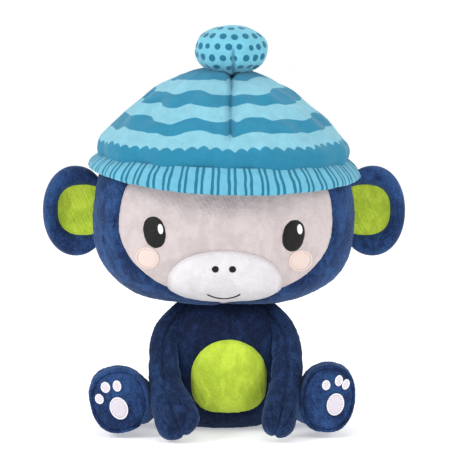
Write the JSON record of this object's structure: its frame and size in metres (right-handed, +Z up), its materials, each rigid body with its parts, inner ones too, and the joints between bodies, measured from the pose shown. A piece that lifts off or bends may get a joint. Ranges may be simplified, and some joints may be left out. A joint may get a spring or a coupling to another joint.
{
  "type": "seated soft monkey toy",
  "caption": "Seated plush monkey with a big turning head, fold-over ears, swinging arms and legs and a loose hat with a pompom.",
  "frame": {"origin": "centre of the flat seat panel, on the surface the toy sits on", "axes": "+Z up, the toy faces -Y, +X is the toy's own left"},
  "size_m": [0.2532, 0.1546, 0.283],
  "materials": {
    "navy_plush": "short-pile navy plush, brushed",
    "lime_plush": "short-pile lime plush",
    "grey_plush": "short-pile warm grey plush",
    "white_plush": "short-pile white plush",
    "polyester_stuffing": "loose polyester fibre",
    "pellets": "smooth plastic pellets",
    "pouch_cotton": "plain woven cotton",
    "black_thread": "black satin-stitch thread",
    "white_thread": "white satin-stitch thread",
    "pink_thread": "pale pink satin-stitch thread",
    "pad_thread": "white satin-stitch thread over pale plush",
    "hat_jersey": "printed brushed jersey, wavy stripes",
    "brim_jersey": "printed brushed jersey, thin upright lines",
    "pompom_jersey": "printed brushed jersey, dots",
    "navy_thread": "navy sewing thread"
  },
  "bodies": {
    "torso": {"torso_front_panel": "navy_plush", "torso_back_panel_left": "navy_plush", "torso_back_panel_right": "navy_plush", "seat_panel": "navy_plush", "tummy_patch": "lime_plush", "torso_stuffing": "polyester_stuffing", "pellet_pouch": "pouch_cotton", "pellet_fill": "pellets"},
    "neck": {"neck_stuffing": "polyester_stuffing"},
    "head": {"head_side_panel_left": "navy_plush", "head_side_panel_right": "navy_plush", "head_back_panel_left": "navy_plush", "head_back_panel_right": "navy_plush", "face_panel": "grey_plush", "muzzle_cover": "white_plush", "muzzle_stuffing": "polyester_stuffing", "eye_left": "black_thread", "eye_right": "black_thread", "eye_glint_left": "white_thread", "eye_glint_right": "white_thread", "cheek_left": "pink_thread", "cheek_right": "pink_thread", "nostril_stitches": "black_thread", "mouth_stitch": "black_thread", "head_stuffing": "polyester_stuffing"},
    "hat": {"hat_crown_front": "hat_jersey", "hat_crown_back": "hat_jersey", "hat_brim": "brim_jersey"},
    "pompom": {"pompom_cover": "pompom_jersey", "pompom_gather_stitch": "pompom_jersey", "pompom_stuffing": "polyester_stuffing"},
    "ear_left": {"ear_front_panel_left": "navy_plush", "ear_inner_patch_left": "lime_plush", "ear_back_panel_left": "navy_plush", "ear_stuffing_left": "polyester_stuffing"},
    "arm_left": {"arm_outer_panel_left": "navy_plush", "arm_inner_panel_left": "navy_plush", "arm_stuffing_left": "polyester_stuffing", "finger_stitches_left": "navy_thread"},
    "leg_left": {"leg_cover_left": "navy_plush", "foot_sole_left": "navy_plush", "leg_stuffing_left": "polyester_stuffing", "heel_pad_left": "pad_thread", "toe_pads_left": "pad_thread"},
    "ear_right": {"ear_front_panel_right": "navy_plush", "ear_inner_patch_right": "lime_plush", "ear_back_panel_right": "navy_plush", "ear_stuffing_right": "polyester_stuffing"},
    "arm_right": {"arm_outer_panel_right": "navy_plush", "arm_inner_panel_right": "navy_plush", "arm_stuffing_right": "polyester_stuffing", "finger_stitches_right": "navy_thread"},
    "leg_right": {"leg_cover_right": "navy_plush", "foot_sole_right": "navy_plush", "leg_stuffing_right": "polyester_stuffing", "heel_pad_right": "pad_thread", "toe_pads_right": "pad_thread"}
  },
  "joints": [
    {"name": "head_nod", "type": "hinge", "parent": "torso", "child": "neck", "pos_m": [0, 0.004, 0.083], "axis": [1, 0, 0], "range_deg": [-6, 7], "stiffness_Nm_per_rad": 1.2},
    {"name": "head_turn", "type": "hinge", "parent": "neck", "child": "head", "pos_m": [0, 0.004, 0.083], "axis": [0, 0, 1], "range_deg": [-35, 35], "stiffness_Nm_per_rad": 0.15},
    {"name": "hat_lift", "type": "slide", "parent": "head", "child": "hat", "axis": [0, 0, 1], "range_m": [0, 0.11]},
    {"name": "pompom_wobble", "type": "hinge", "parent": "hat", "child": "pompom", "pos_m": [0.005, 0, 0.2482], "axis": [0, 1, 0], "range_deg": [-10, 10], "stiffness_Nm_per_rad": 0.02},
    {"name": "ear_left_fold", "type": "hinge", "parent": "head", "child": "ear_left", "pos_m": [0.0974, 0, 0.1505], "axis": [0, 0, -1], "range_deg": [-25, 25], "stiffness_Nm_per_rad": 0.02},
    {"name": "arm_left_swing", "type": "hinge", "parent": "torso", "child": "arm_left", "pos_m": [0.0445, -0.012, 0.074], "axis": [-1, 0, 0], "range_deg": [0, 38]},
    {"name": "leg_left_swing", "type": "hinge", "parent": "torso", "child": "leg_left", "pos_m": [0.066, -0.006, 0.0165], "axis": [-1, 0, 0], "range_deg": [-75, 8]},
    {"name": "ear_right_fold", "type": "hinge", "parent": "head", "child": "ear_right", "pos_m": [-0.0974, 0, 0.1505], "axis": [0, 0, 1], "range_deg": [-25, 25], "stiffness_Nm_per_rad": 0.02},
    {"name": "arm_right_swing", "type": "hinge", "parent": "torso", "child": "arm_right", "pos_m": [-0.0445, -0.012, 0.074], "axis": [-1, 0, 0], "range_deg": [0, 38]},
    {"name": "leg_right_swing", "type": "hinge", "parent": "torso", "child": "leg_right", "pos_m": [-0.066, -0.006, 0.0165], "axis": [-1, 0, 0], "range_deg": [-75, 8]}
  ]
}
